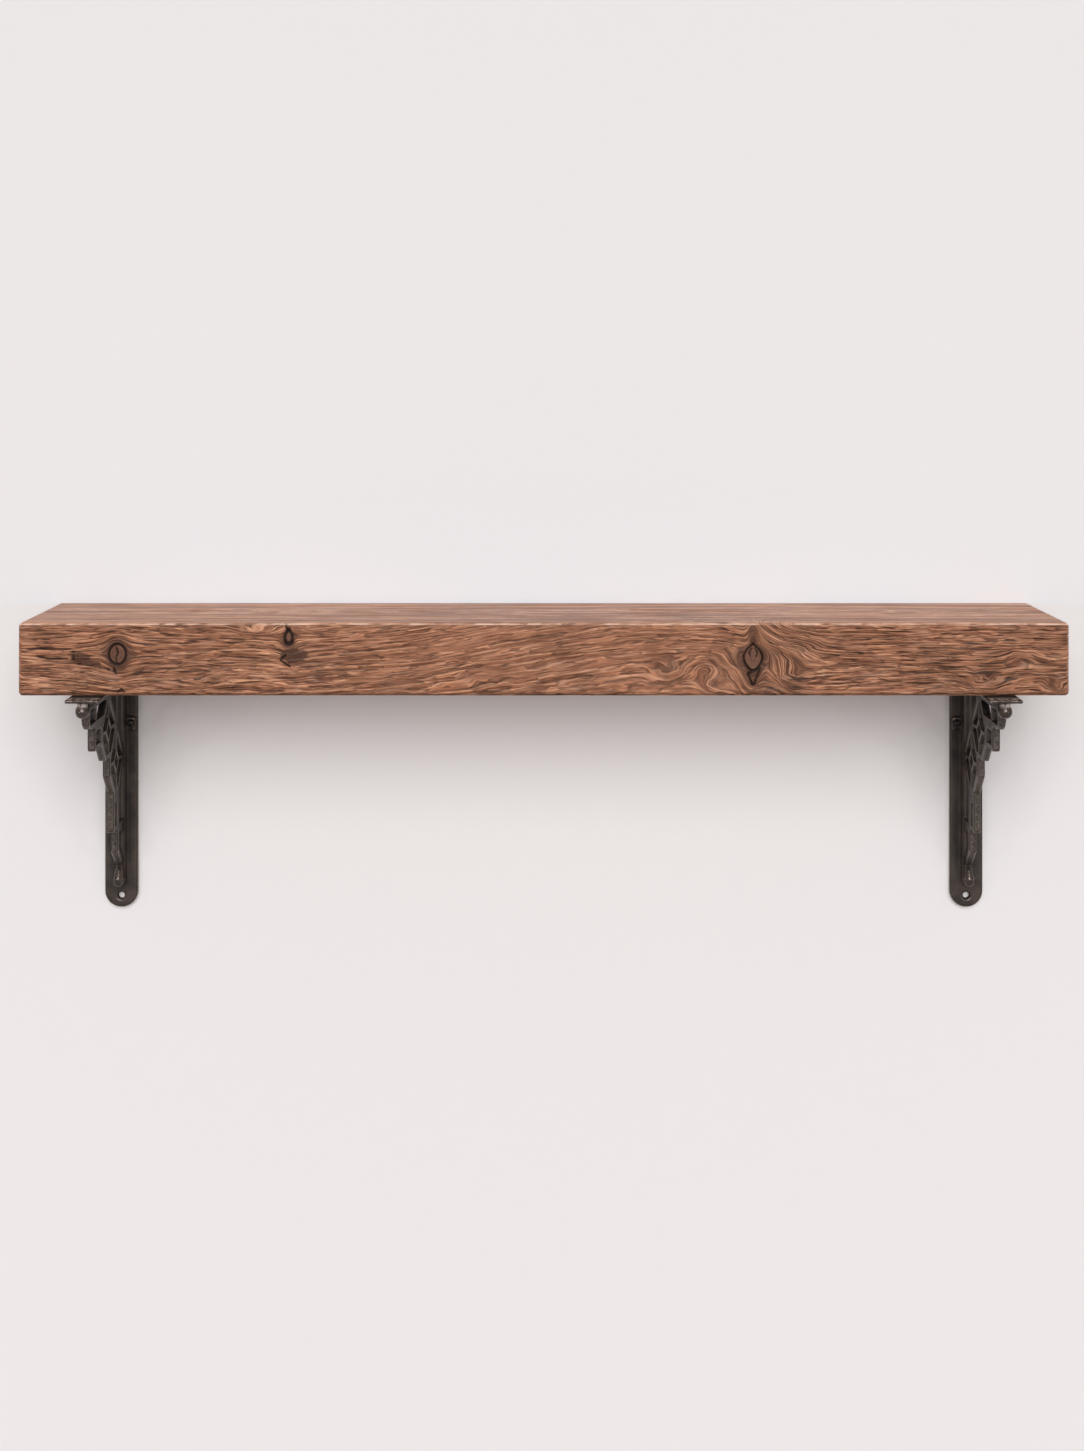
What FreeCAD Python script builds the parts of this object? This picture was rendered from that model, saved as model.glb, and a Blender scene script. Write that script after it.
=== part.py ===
"""Wall shelf: a thick timber board on two pierced cast-iron brackets, with its screws.

Frame: +X along the board, +Y into the wall, +Z up. The wall is the plane y = 0 and the origin is the
middle of the board's back face. Lengths are in millimetres.
"""
import FreeCAD, Part
import os
import Sketcher

SIZES = {
    # Timber board
    "board_length": 914.0,
    "board_depth": 152.0,
    "board_thick": 63.5,
    "board_arris": 4.0,
    # Overhang of the board past the middle of each casting
    "overhang": 60.0,
    # Back plate, with its half-round lower end
    "plate_width": 31.0,
    "plate_height": 221.5,
    "plate_thick": 5.0,
    "plate_edge": 1.2,
    # Top flange
    "flange_width": 29.5,
    "flange_length": 176.0,
    "flange_thick": 3.2,
    "flange_edge": 1.2,
    # Stepped outline of the web: distance out from the wall and drop below the board
    "web_thick": 7.2,
    "tip_out": 160.0,
    "tip_drop": 30.0,
    "mid_out": 135.0,
    "mid_drop": 52.0,
    "notch_out": 72.0,
    "notch_drop": 68.5,
    "knee_out": 54.5,
    "knee_drop": 141.5,
    "heel_out": 36.0,
    "heel_drop": 163.0,
    "toe_out": 13.0,
    "toe_drop": 181.5,
    "tip_round": 13.0,
    "step_round": 2.5,
    # Fretwork bars: the web's own border, the post, the knee and the strips along plate and flange
    "border": 5.0,
    "post": 5.0,
    "knee_bar": 12.0,
    "spine": 13.0,
    "rim": 13.0,
    # Two diamonds on the diagonal brace, given by half their diagonals
    "diamond_out": 77.0,
    "diamond_drop": 42.5,
    "diamond_reach": 29.0,
    "brace_bar": 10.0,
    "ring_reach": 13.5,
    "ring_hole": 7.5,
    "bridge": 4.0,
    # Rib that roots the web on the plate, and the cast ornaments at its two ends
    "rib_width": 9.6,
    "rib_rise": 4.0,
    "rib_drop": 199.5,
    "bead_out": 169.5,
    "bead_drop": 10.8,
    "bead_radius": 6.5,
    "bead_neck": 4.5,
    "foot_out": 18.0,
    "foot_drop": 192.6,
    "foot_radius": 4.6,
    "foot_straight": 2.4,
    "foot_neck_out": 14.5,
    "foot_neck_drop": 184.5,
    "foot_neck_radius": 3.6,
    # Raised seats of the upper wall screws
    "seat_offset": 9.6,
    "seat_drop": 48.5,
    "seat_width": 8.8,
    "seat_height": 12.4,
    "seat_rise": 2.0,
    "seat_round": 3.0,
    # Open countersunk hole at the plate's lower end
    "lower_hole": 5.8,
    "lower_sink": 9.0,
    "lower_hole_drop": 210.5,
    # Round-head screws
    "screw_shank": 3.8,
    "screw_thread": 3.4,
    "screw_head": 7.4,
    "head_crown": 4.0,
    "head_height": 2.6,
    "rim_height": 0.9,
    "screw_clearance": 0.5,
    "wall_screw_length": 35.0,
    "wall_screw_plain": 12.0,
    "shelf_screw_length": 22.0,
    "shelf_screw_plain": 9.0,
    "shelf_screw_offset": 9.2,
    "shelf_screw_front": 122.0,
    "shelf_screw_rear": 44.0,
    "pilot_clearance": 0.3,
}

doc = FreeCAD.newDocument("wall_shelf")
sheet = doc.addObject("Spreadsheet::Sheet", "Sizes")
for row, (alias, number) in enumerate(SIZES.items(), start=1):
    sheet.set(f"A{row}", alias)
    sheet.set(f"B{row}", str(number))
    sheet.setAlias(f"B{row}", alias)
doc.recompute()


class Size:
    """A length that keeps its present value beside the expression that drives it."""

    def __init__(self, value, text):
        self.value = value
        self.text = text

    def _join(self, sign, other, value):
        text = other.text if isinstance(other, Size) else str(other)
        return Size(value, f"({self.text} {sign} {text})")

    def __add__(self, other):
        return self._join("+", other, self.value + other.value)

    def __sub__(self, other):
        return self._join("-", other, self.value - other.value)

    def __mul__(self, factor):
        return self._join("*", factor, self.value * factor)

    def __truediv__(self, divisor):
        return self._join("/", divisor, self.value / divisor)

    def __neg__(self):
        return Size(-self.value, f"(-{self.text})")


def size(alias):
    return Size(sheet.get(alias), f"Sizes.{alias}")


def half(alias):
    return size(alias) / 2


def bracket_centre(sign):
    return (half("board_length") - size("overhang")) * sign


ZERO = Size(0.0, "0")


def sketch_on(body, role, name, rise=None):
    """A sketch on one of the body's own planes, lifted off it by rise."""
    plane = next(item for item in body.Origin.OriginFeatures if item.Role == role)
    sketch = body.newObject("Sketcher::SketchObject", name)
    sketch.AttachmentSupport = [(plane, "")]
    sketch.MapMode = "FlatFace"
    if rise:
        sketch.setExpression("AttachmentOffset.Base.z", rise.text)
    return sketch


def pin_points(sketch, points):
    """Ties points of the sketch, each given by its geometry and end, to the driving sizes."""
    constraints, drives = [], []
    for geometry, end, point in points:
        for kind, axis, along in (("DistanceX", -2, point[0]), ("DistanceY", -1, point[1])):
            if along.value == 0:
                constraints.append(Sketcher.Constraint("PointOnObject", geometry, end, axis))
                continue
            ends = (-1, 1, geometry, end) if along.value > 0 else (geometry, end, -1, 1)
            length = along if along.value > 0 else -along
            drives.append((sketch.ConstraintCount + len(constraints), length.text))
            constraints.append(Sketcher.Constraint(kind, *ends, length.value))
    sketch.addConstraint(constraints)
    for index, text in drives:
        sketch.setExpression(f"Constraints[{index}]", text)


def vector(point):
    return FreeCAD.Vector(point[0].value, point[1].value, 0)


def chain(sketch, points):
    """A closed outline of straight lines through the points."""
    first = sketch.GeometryCount
    count = len(points)
    sides = [Part.LineSegment(vector(points[index]), vector(points[(index + 1) % count]))
             for index in range(count)]
    sketch.addGeometry(sides, False)
    sketch.addConstraint([Sketcher.Constraint("Coincident", first + index, 2, first + (index + 1) % count, 1)
                          for index in range(count)])
    pin_points(sketch, [(first + index, 1, point) for index, point in enumerate(points)])


def rectangle(sketch, low, high):
    chain(sketch, [low, (high[0], low[1]), high, (low[0], high[1])])


def circle(sketch, centre, radius):
    ring = Part.Circle(vector(centre), FreeCAD.Vector(0, 0, 1), radius.value)
    geometry = sketch.addGeometry(ring, False)
    pin_points(sketch, [(geometry, 3, centre)])
    index = sketch.addConstraint(Sketcher.Constraint("Radius", geometry, radius.value))
    sketch.setExpression(f"Constraints[{index}]", radius.text)


def pad(body, sketch, length, name, symmetric=False, reverse=False):
    feature = body.newObject("PartDesign::Pad", name)
    feature.Profile = sketch
    feature.setExpression("Length", length.text)
    feature.SideType = "Symmetric" if symmetric else "One side"
    feature.Reversed = reverse
    doc.recompute()
    return feature


def cut_through(body, sketch, name):
    """A pocket through everything on both sides of its sketch, which has to take metal away."""
    before = body.Shape.Volume
    feature = body.newObject("PartDesign::Pocket", name)
    feature.Profile = sketch
    feature.Type = "ThroughAll"
    feature.SideType = "Symmetric"
    doc.recompute()
    assert body.Shape.Volume < before, f"{body.Label}: {name} cuts nothing"
    return feature


def ease(body, radius, name, wanted):
    """A fillet on the edges whose middle the test accepts."""
    base = body.Tip
    names = []
    for number, edge in enumerate(base.Shape.Edges, start=1):
        middle = edge.valueAt((edge.FirstParameter + edge.LastParameter) / 2)
        if wanted(edge, middle):
            names.append(f"Edge{number}")
    assert names, f"{body.Label}: {name} finds no edge"
    feature = body.newObject("PartDesign::Fillet", name)
    feature.Base = (base, names)
    feature.setExpression("Radius", radius.text)
    doc.recompute()
    return feature


def near(first, second):
    return abs(first - second) < 1e-4


def place(body, x, y, z):
    for axis, along in zip("xyz", (x, y, z)):
        body.setExpression(f"Placement.Base.{axis}", along.text)


def side(out, drop):
    """A point of the web's side view, from its distance off the wall and its drop below the board."""
    return (-out, -drop)


def board():
    """The timber board, its long arrises eased, with pilot holes for the screws of both brackets."""
    body = doc.addObject("PartDesign::Body", "shelf_board")
    outline = sketch_on(body, "YZ_Plane", "board_end")
    top, depth = half("board_thick"), size("board_depth")
    rectangle(outline, (-depth, -top), (ZERO, top))
    pad(body, outline, size("board_length"), "board_blank", symmetric=True)
    end = half("board_length").value
    ease(body, size("board_arris"), "board_arrises",
         lambda edge, at: near(at.y, -depth.value) or (near(abs(at.x), end) and not near(at.y, 0)))
    pilots = sketch_on(body, "XY_Plane", "pilot_holes", -top)
    for sign in (-1, 1):
        for x, out in shelf_screw_places(sign):
            circle(pilots, (x, -out), half("screw_shank") + half("pilot_clearance"))
    before = body.Shape.Volume
    holes = body.newObject("PartDesign::Pocket", "pilots")
    holes.Profile = pilots
    holes.Reversed = True
    depth_in_wood = size("shelf_screw_length") - size("flange_thick") + size("pilot_clearance")
    holes.setExpression("Length", depth_in_wood.text)
    doc.recompute()
    assert body.Shape.Volume < before, "the pilot holes cut nothing"
    return body


def shelf_screw_places(sign):
    """Both castings are alike: the front screw stands to the right of the web, the rear one to its left."""
    centre = bracket_centre(sign)
    aside = size("shelf_screw_offset")
    return (centre + aside, size("shelf_screw_front")), (centre - aside, size("shelf_screw_rear"))


def bracket(label):
    """One casting: plate, flange, fretwork web, rib, bead, foot and screw seats."""
    body = doc.addObject("PartDesign::Body", label)
    plate_and_flange(body)
    web_outline(body)
    fretwork(body)
    ornaments(body)
    screw_seats(body)
    return body


def twin(label, first):
    """A second casting from the same pattern as the first."""
    body = doc.addObject("PartDesign::Body", label)
    casting = body.newObject("PartDesign::FeatureBase", f"{label}_casting")
    casting.BaseFeature = first
    body.Tip = casting
    return body


def plate_and_flange(body):
    """The flange with its worn front and side edges, then the plate with its half-round lower end."""
    reach = size("flange_length")
    flange = sketch_on(body, "XY_Plane", "flange_outline")
    rectangle(flange, (-half("flange_width"), -reach), (half("flange_width"), ZERO))
    pad(body, flange, size("flange_thick"), "flange", reverse=True)
    ease(body, size("flange_edge"), "flange_edges", lambda edge, at: not near(at.y, 0))

    width = half("plate_width")
    straight = size("plate_height") - width
    plate = sketch_on(body, "XZ_Plane", "plate_outline")
    rectangle(plate, (-width, -straight), (width, ZERO))
    pad(body, plate, size("plate_thick"), "plate")
    end = sketch_on(body, "XZ_Plane", "plate_end_outline")
    circle(end, (ZERO, -straight), width)
    pad(body, end, size("plate_thick"), "plate_end")
    face = -size("plate_thick").value
    ease(body, size("plate_edge"), "plate_edges",
         lambda edge, at: near(at.y, face) and (near(abs(at.x), width.value) or at.z < -straight.value))


def brace_line():
    """Distance out plus drop along the lower edge of the diagonal brace."""
    return size("diamond_out") + size("diamond_drop") + size("diamond_reach") + size("brace_bar")


def web_outline(body):
    """The stepped outline, cut across its steps by the straight lower edge of the brace."""
    root, under = half("plate_thick"), half("flange_thick")
    waist = brace_line() - size("mid_drop")
    steps = [
        side(root, under),
        side(size("tip_out"), under),
        side(size("tip_out"), size("tip_drop")),
        side(size("mid_out"), size("tip_drop")),
        side(size("mid_out"), size("mid_drop")),
        side(waist, size("mid_drop")),
        side(brace_line() - size("notch_drop"), size("notch_drop")),
        side(size("notch_out"), size("notch_drop")),
        side(size("notch_out"), brace_line() - size("notch_out")),
        side(size("knee_out"), brace_line() - size("knee_out")),
        side(size("knee_out"), size("knee_drop")),
        side(size("heel_out"), size("knee_drop")),
        side(size("heel_out"), size("heel_drop")),
        side(size("toe_out"), size("toe_drop")),
        side(size("foot_out"), size("foot_drop")),
        side(root, size("foot_drop")),
    ]
    outline = sketch_on(body, "YZ_Plane", "web_outline")
    chain(outline, steps)
    pad(body, outline, size("web_thick"), "web", symmetric=True)
    for radius, name, corners in (("tip_round", "tip_corner", [("tip_out", "tip_drop")]),
                                  ("step_round", "step_corners", [("mid_out", "mid_drop"),
                                                                  ("knee_out", "knee_drop")])):
        spots = [(-size(out).value, -size(drop).value) for out, drop in corners]
        ease(body, size(radius), name,
             lambda edge, at: any(near(at.y, y) and near(at.z, z) for y, z in spots))


def fretwork(body):
    """Openings first, then the rails, bridges and rings that stand in them, then the rings' holes."""
    border, spine, rim = size("border"), size("spine"), size("rim")
    reach = size("diamond_reach")
    pitch = reach + half("brace_bar")
    upper = (size("diamond_out"), size("diamond_drop"))
    lower = (upper[0] - pitch, upper[1] + pitch)
    waist = brace_line() - size("mid_drop")
    corner = upper[0] + upper[1] - reach - size("brace_bar")
    arm_slant = upper[0] - upper[1] + reach + size("brace_bar")
    leg_slant = lower[1] - lower[0] + reach + size("brace_bar")
    arm_floor = size("tip_drop") - border
    post = size("mid_out") - border
    leg_floor = size("knee_drop") - border
    leg_wall = size("heel_out") - border

    openings = sketch_on(body, "YZ_Plane", "openings")
    for out, drop in (upper, lower):
        chain(openings, diamond(out, drop, reach))
    chain(openings, [side(spine, rim), side(corner - rim, rim), side(spine, corner - spine)])
    chain(openings, [side(arm_slant + rim, rim), side(post - half("post"), rim),
                       side(post - half("post"), arm_floor), side(arm_slant + arm_floor, arm_floor)])
    rectangle(openings, side(size("tip_out") - border, arm_floor), side(post + half("post"), rim))
    rectangle(openings, side(post, size("mid_drop") - border),
              side(waist + border, size("tip_drop") + border))
    chain(openings, [side(spine, leg_slant + spine), side(leg_wall, leg_slant + leg_wall),
                       side(leg_wall, leg_floor), side(spine, leg_floor)])
    rectangle(openings, side(size("knee_out") - border, leg_floor),
              side(size("heel_out") + border, brace_line() - size("knee_out") + size("knee_bar")))
    chain(openings, [side(spine, size("knee_drop") + border), side(leg_wall, size("knee_drop") + border),
                       side(leg_wall, size("heel_drop") - border),
                       side(spine, size("heel_drop") + border * 2)])
    cut_through(body, openings, "fret_openings")

    bars = {
        "waist_post": (side(waist + border, size("mid_drop")), side(waist - border, size("tip_drop"))),
        "notch_rail": (side(brace_line() - size("notch_drop"), size("notch_drop")),
                       side(size("notch_out") - border, size("notch_drop") - border)),
        "notch_post": (side(size("notch_out"), brace_line() - size("notch_out")),
                       side(size("notch_out") - border, size("notch_drop") - border)),
        "spine_strip": (side(spine, size("foot_drop")), side(half("plate_thick"), half("flange_thick"))),
        "rim_strip": (side(size("tip_out"), rim), side(half("plate_thick"), half("flange_thick"))),
    }
    across = half("bridge")
    past = reach + half("border")
    for name, (out, drop), front, foot in (
            ("upper", upper, upper[0] + past, size("notch_drop") - half("border")),
            ("lower", lower, size("notch_out") - half("border"), lower[1] + past)):
        bars[f"{name}_bridge_level"] = (side(front, drop + across), side(out - past, drop - across))
        bars[f"{name}_bridge_upright"] = (side(out + across, foot), side(out - across, drop - past))
    for name, (low, high) in bars.items():
        sketch = sketch_on(body, "YZ_Plane", f"{name}_outline")
        rectangle(sketch, low, high)
        pad(body, sketch, size("web_thick"), name, symmetric=True)

    rings = sketch_on(body, "YZ_Plane", "ring_outlines")
    holes = sketch_on(body, "YZ_Plane", "ring_hole_outlines")
    for out, drop in (upper, lower):
        chain(rings, diamond(out, drop, size("ring_reach")))
        chain(holes, diamond(out, drop, size("ring_hole")))
    pad(body, rings, size("web_thick"), "rings", symmetric=True)
    cut_through(body, holes, "ring_holes")


def diamond(out, drop, reach):
    return [side(out + reach, drop), side(out, drop + reach), side(out - reach, drop), side(out, drop - reach)]


def ornaments(body):
    """The rib on the plate, the bead that hangs from the flange's tip and the foot below the web."""
    rib_front = size("plate_thick") + size("rib_rise")
    rib_straight = size("rib_drop") - half("rib_width")
    rib = sketch_on(body, "XZ_Plane", "rib_outline")
    rectangle(rib, (-half("rib_width"), -rib_straight), (half("rib_width"), -half("flange_thick")))
    pad(body, rib, rib_front, "rib")
    rib_end = sketch_on(body, "XZ_Plane", "rib_end_outline")
    circle(rib_end, (ZERO, -rib_straight), half("rib_width"))
    pad(body, rib_end, rib_front, "rib_end")

    neck = sketch_on(body, "XY_Plane", "bead_neck_outline", -half("flange_thick"))
    circle(neck, (ZERO, -size("bead_out")), size("bead_neck"))
    pad(body, neck, size("bead_drop") - half("flange_thick"), "bead_stalk", reverse=True)
    ball(body, "bead", size("bead_radius"), size("bead_out"), size("bead_drop"))
    ball(body, "foot_neck", size("foot_neck_radius"), size("foot_neck_out"), size("foot_neck_drop"))
    foot_bottom = size("foot_drop") + size("foot_straight")
    barrel = body.newObject("PartDesign::AdditiveCylinder", "foot_barrel")
    barrel.setExpression("Radius", size("foot_radius").text)
    barrel.setExpression("Height", size("foot_straight").text)
    barrel.setExpression("Placement.Base.y", (-size("foot_out")).text)
    barrel.setExpression("Placement.Base.z", (-foot_bottom).text)
    doc.recompute()
    ball(body, "foot_crown", size("foot_radius"), size("foot_out"), size("foot_drop"))
    ball(body, "foot_end", size("foot_radius"), size("foot_out"), foot_bottom)


def ball(body, name, radius, out, drop):
    sphere = body.newObject("PartDesign::AdditiveSphere", name)
    sphere.setExpression("Radius", radius.text)
    sphere.setExpression("Placement.Base.y", (-out).text)
    sphere.setExpression("Placement.Base.z", (-drop).text)
    doc.recompute()


def screw_seats(body):
    """Raised seats either side of the web, their holes, the flange's holes and the open lower hole."""
    seats = sketch_on(body, "XZ_Plane", "seat_outlines")
    holes = sketch_on(body, "XZ_Plane", "seat_holes")
    width, height = half("seat_width"), half("seat_height")
    bore = half("screw_shank") + half("screw_clearance")
    for sign in (-1, 1):
        x = size("seat_offset") * sign
        rectangle(seats, (x - width, -size("seat_drop") - height), (x + width, height - size("seat_drop")))
        circle(holes, (x, -size("seat_drop")), bore)
    face = size("plate_thick") + size("seat_rise")
    pad(body, seats, face, "seats")
    ease(body, size("seat_round"), "seat_corners", seat_corner)
    cut_through(body, holes, "seat_bores")

    drills = sketch_on(body, "XY_Plane", "flange_holes")
    for sign, out in ((1, "shelf_screw_front"), (-1, "shelf_screw_rear")):
        circle(drills, (size("shelf_screw_offset") * sign, -size(out)), bore)
    cut_through(body, drills, "flange_bores")

    mouth = sketch_on(body, "XZ_Plane", "lower_hole_centre", size("plate_thick"))
    circle(mouth, (ZERO, -size("lower_hole_drop")), half("lower_hole"))
    doc.recompute()
    hole = body.newObject("PartDesign::Hole", "lower_hole")
    hole.Profile = mouth
    hole.DepthType = "ThroughAll"
    hole.HoleCutType = "Countersink"
    hole.HoleCutCustomValues = True
    hole.setExpression("Diameter", size("lower_hole").text)
    hole.setExpression("HoleCutDiameter", size("lower_sink").text)
    doc.recompute()


def seat_corner(edge, at):
    """The corners of the raised seats on the side away from the web."""
    outer = size("seat_offset").value + size("seat_width").value / 2
    level = abs(at.z + size("seat_drop").value)
    return near(abs(at.x), outer) and near(level, size("seat_height").value / 2)


def screw(kind, label, turn):
    """A round-head wood screw: its seat is the plane z = 0 and its shank runs up +Z."""
    body = doc.addObject("PartDesign::Body", label)
    profile = sketch_on(body, "XZ_Plane", "screw_profile")
    length, plain = size(f"{kind}_length"), size(f"{kind}_plain")
    shank, thread = half("screw_shank"), half("screw_thread")
    chain(profile, [
        (ZERO, -size("head_height")),
        (half("head_crown"), -size("head_height")),
        (half("screw_head"), -size("rim_height")),
        (half("screw_head"), ZERO),
        (shank, ZERO),
        (shank, plain),
        (thread, plain),
        (thread, length),
        (ZERO, length),
    ])
    turned = body.newObject("PartDesign::Revolution", "turned_screw")
    turned.Profile = profile
    turned.ReferenceAxis = (profile, ["V_Axis"])
    doc.recompute()
    body.Placement.Rotation = turn
    return body


def screws(name, sign):
    """The two wall screws and the two board screws of one bracket."""
    centre = bracket_centre(sign)
    into_wall = FreeCAD.Rotation(FreeCAD.Vector(1, 0, 0), -90)
    upright = FreeCAD.Rotation()
    under = -half("board_thick")
    made = []
    for where, inwards in (("inner", -sign), ("outer", sign)):
        body = screw("wall_screw", f"wall_screw_{name}_{where}", into_wall)
        seat = size("plate_thick") + size("seat_rise")
        place(body, centre + size("seat_offset") * inwards, -seat, under - size("seat_drop"))
        made.append(body)
    for where, (x, out) in zip(("front", "rear"), shelf_screw_places(sign)):
        body = screw("shelf_screw", f"shelf_screw_{name}_{where}", upright)
        place(body, x, -out, under - size("flange_thick"))
        made.append(body)
    return made


left = bracket("bracket_left")
parts = [board()]
for name, sign, casting in (("left", -1, left), ("right", 1, twin("bracket_right", left))):
    place(casting, bracket_centre(sign), ZERO, -half("board_thick"))
    parts.append(casting)
    parts.extend(screws(name, sign))
doc.recompute()

failed = [item.Label for item in doc.Objects if {"Invalid", "Error"} & set(item.State)]
assert not failed, f"failed objects: {failed}"
os.makedirs("parts", exist_ok=True)
for body in parts:
    assert not body.Shape.isNull() and body.Shape.isValid(), f"{body.Label} has no sound shape"
    assert len(body.Shape.Solids) == 1, f"{body.Label} is not one solid"
for body in parts:
    body.Shape.exportStep(f"parts/{body.Label}.step")
    print(body.Label, round(body.Shape.Volume), len(body.Shape.Faces))
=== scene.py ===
import itertools
import math

import bmesh
import bpy
from mathutils import Matrix, Vector, noise
from mathutils.bvhtree import BVHTree


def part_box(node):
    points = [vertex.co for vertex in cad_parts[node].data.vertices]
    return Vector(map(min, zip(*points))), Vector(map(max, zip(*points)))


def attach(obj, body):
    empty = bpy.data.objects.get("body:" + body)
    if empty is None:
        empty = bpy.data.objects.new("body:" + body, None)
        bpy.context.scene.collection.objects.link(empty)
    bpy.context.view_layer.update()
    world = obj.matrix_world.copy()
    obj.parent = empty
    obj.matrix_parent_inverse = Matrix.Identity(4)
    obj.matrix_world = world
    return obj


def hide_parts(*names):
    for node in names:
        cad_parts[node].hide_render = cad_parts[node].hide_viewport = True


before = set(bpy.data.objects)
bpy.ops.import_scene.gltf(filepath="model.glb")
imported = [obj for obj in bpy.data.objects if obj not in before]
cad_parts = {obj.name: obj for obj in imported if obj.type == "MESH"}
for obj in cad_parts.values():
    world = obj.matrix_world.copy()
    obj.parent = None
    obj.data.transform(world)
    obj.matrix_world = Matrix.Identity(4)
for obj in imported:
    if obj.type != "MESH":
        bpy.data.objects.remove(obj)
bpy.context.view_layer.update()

# Shelf board
# One thick plank of old softwood, stained red-brown. Wire brushing has worn the soft early wood below the
# hard rings, the arrises are rubbed round, and the plank lies on both flanges, screwed to them from below.
MM = 0.001
board_low, board_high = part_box("shelf_board")
front_y, end_x = board_low.y / MM, board_high.x / MM
arris_radius, arris_steps = 3.2, 4
plain_step, knot_step, knot_margin = 3.0, 0.8, 9.0
cuts_deep, cuts_tall = 40, 90
back_margin = 0.1
hair, aligned = 0.01, 0.999           # a length that counts as nothing, and a direction as good as straight

heart_y, heart_z = -60.0, -88.0       # the log's heart, behind the front face and below the plank
sweep_rise, sweep_depth = 34.0, 26.0  # the grain sweeps up in the middle of the front face
sweep_climb, sweep_fall = (-240, 130), (150, 240)
ring_spacing = 3.3
# how the rings wander: how far, and over what length, depth and height
wanders = ((3.0, 190, 70, 55), (1.2, 70, 18, 11), (0.35, 14, 9, 5))
# each knot of the front face: place along and up the face, half width, half height, how far its top and its
# bottom narrow to a point, and how hard it pushes the rings aside
round_knot = (-370.7, 4.6, 7.3, 8.8, 0.0, 0.0, 1.2)
teardrop_knot = (-221.8, 19.5, 3.2, 5.8, 0.5, -0.3, 1.8)
flame_knot = (181.9, 1.9, 8.0, 11.6, 0.75, 0.3, 3.0)
knots = (round_knot, teardrop_knot, flame_knot)
rim_dark, rim_gone = 0.5, 1.3
stain_wide, stain_push = 1.6, 0.6
# places where the grain winds over a knot that lies below the face: place, half width, half height, and how
# far the rings rise
windings = (
    (-250.0, 25.0, 17.0, 4.2, 4.5), (-300.0, -20.0, 26.0, 6.0, 3.5), (-60.0, -14.0, 34.0, 8.0, -2.4),
    (108.0, -12.0, 14.0, 9.0, 4.5), (140.0, -4.0, 15.0, 11.0, -5.0), (150.0, -22.0, 12.0, 8.0, 4.5),
    (214.0, -15.0, 15.0, 9.0, 6.5), (226.0, 14.0, 16.0, 8.0, -5.0), (383.0, -20.0, 20.0, 8.0, 5.0),
    (415.0, 2.0, 15.0, 7.0, -4.5), (445.0, -24.0, 8.0, 6.0, 5.0),
)
# each open crack of the front face: the points it runs through and its half width
cracks = (
    (((-450, 8.5), (-438, 9.5), (-424, 8.5), (-411, 9)), 0.7),
    (((-411, 9), (-408.5, 5), (-409.5, 1), (-407.5, -4)), 0.8),
    (((-440, 2.5), (-430, 0.5), (-415, 0.5)), 0.9),
    (((-407, -4), (-392, -6), (-378, -9)), 0.7),
    (((-372, 11), (-370.2, 6), (-371.6, 2), (-371.4, -3)), 0.7),
    (((-374, -7), (-372, -13)), 0.8),
    (((-224.5, 32), (-223.5, 27), (-222.3, 24)), 0.8),
    (((177.4, -12.5), (181.6, -22.2)), 1.1),
    (((188.2, -7.5), (182.5, -22.2)), 1.0),
    (((177.4, -12.5), (188.2, -7.5)), 1.0),
    (((180.6, 10), (178.6, 5.5), (179.4, 2.5)), 0.6),
    (((183.6, 10), (186, 5.5), (184.8, 2.5)), 0.6),
    (((-370.5, -29), (-367.5, -25.8), (-364.5, -29)), 0.8),
    (((-224.5, 4), (-229, -1), (-221, -6)), 0.8),
)
# dark marks of the top face, in the same way, along and out from the wall
top_marks = (
    (((104, -84), (140, -92)), 2.2), (((118, -106), (150, -112)), 2.6), (((126, -126), (155, -131)), 3.0),
    (((132, -143), (159, -150)), 3.2), (((310, -80), (336, -77)), 2.6), (((-330, -60), (-262, -66)), 2.2),
    (((20, -98), (74, -92)), 2.0),
)
crack_open, crack_shut = 0.4, 1.3     # shares of the half width
# bare brown patches where a flake has come away: place, half length and half height
flakes = ((-217.0, 3.5, 12.0, 7.0), (-402.0, 2.0, 9.0, 4.0), (-392.0, -3.5, 8.0, 3.0))
flake_bare, flake_border = 0.86, 0.94
# ragged borders: how far they stray, over what length and height, and a number that keeps the patterns apart
wind_rag, crack_rag, flake_rag = (0.35, 9, 6, 50.0), (0.35, 3, 3, 20.0), (0.4, 5, 4, 8.0)


def smooth_step(start, end, value):
    """0 before start, 1 after end, eased between."""
    part = min(max((value - start) / (end - start), 0.0), 1.0)
    return part * part * (3.0 - 2.0 * part)


def rag_at(x, z, far, long, tall, pattern):
    """How far a ragged border strays at a point of a face."""
    return far * noise.noise((x / long, z / tall, pattern))


def plain_ring(x, y, z):
    """Distance from the log's heart in millimetres, before the knots push the rings aside."""
    near_front = math.exp((front_y - y) / sweep_depth)
    sweep = sweep_rise * near_front * (smooth_step(*sweep_climb, x) - smooth_step(*sweep_fall, x))
    wander = 0.0
    for far, long, deep, tall in wanders:
        wander += far * noise.noise((x / long, y / deep, z / tall))
    for wind_x, wind_z, wide, tall, rise in windings:
        reach = math.hypot((x - wind_x) / wide, (z - wind_z) / tall) + rag_at(x, z, *wind_rag)
        wander += near_front * rise * math.exp(-reach * reach)
    return math.hypot(y - heart_y, z - sweep - heart_z) + wander


knot_rings = [plain_ring(knot[0], front_y, knot[1]) for knot in knots]


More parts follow.
